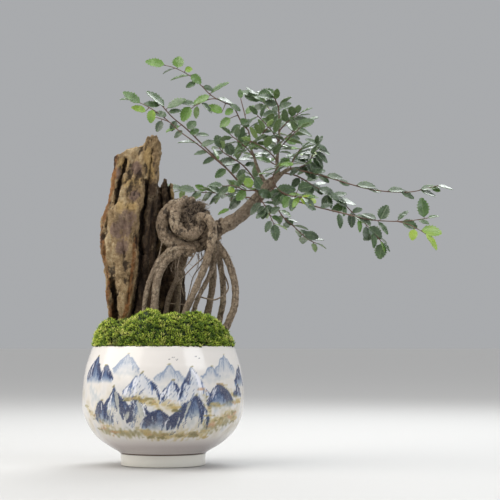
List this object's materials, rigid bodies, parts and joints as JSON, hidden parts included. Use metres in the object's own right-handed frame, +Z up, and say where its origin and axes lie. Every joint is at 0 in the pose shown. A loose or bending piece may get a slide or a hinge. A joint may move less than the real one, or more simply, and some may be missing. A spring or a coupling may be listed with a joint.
{
  "type": "potted bonsai tree",
  "caption": "Leaning small-leaved bonsai with coiled bare roots beside a tall weathered stone, set in moss in a round footed porcelain bowl.",
  "frame": {"origin": "bottom centre of the whole plant's box, on the surface that the bowl stands on; the bowl's axis is 81.9 mm towards -X from it", "axes": "+Z up; +X towards the side the tree leans to, over the long right-hand shoots; the front, with the coil and the stone's face, looks towards -Y"},
  "size_m": [0.2926, 0.1288, 0.3258],
  "materials": {
    "porcelain": "gloss",
    "mesh_plastic": "matte",
    "soil": "matte",
    "weathered_stone": "matte",
    "moss": "matte",
    "bark": "matte",
    "foliage": "satin"
  },
  "bodies": {
    "root": {"drain_mesh": "mesh_plastic", "moss_back": "moss", "moss_back_left": "moss", "moss_back_right": "moss", "moss_front": "moss", "moss_front_left": "moss", "moss_front_right": "moss", "moss_left": "moss", "moss_middle": "moss", "moss_right": "moss", "pot": "porcelain", "rock_small": "weathered_stone", "rock_tall": "weathered_stone", "shoot_arm_back": "foliage", "shoot_arm_front": "foliage", "shoot_back": "foliage", "shoot_back_inner": "foliage", "shoot_back_left": "foliage", "shoot_back_right": "foliage", "shoot_back_top": "foliage", "shoot_crown_front": "foliage", "shoot_front_left": "foliage", "shoot_front_right": "foliage", "shoot_hanging": "foliage", "shoot_inner_left": "foliage", "shoot_leader": "foliage", "shoot_long_left": "foliage", "shoot_low_back": "foliage", "shoot_low_left": "foliage", "shoot_low_right": "foliage", "shoot_right_arch": "foliage", "shoot_right_lower": "foliage", "shoot_right_middle": "foliage", "shoot_right_upper": "foliage", "shoot_riser_front": "foliage", "shoot_riser_left": "foliage", "shoot_top_left": "foliage", "shoot_upper_left": "foliage", "shoot_upper_right": "foliage", "soil": "soil", "trunk": "bark"}
  },
  "joints": []
}
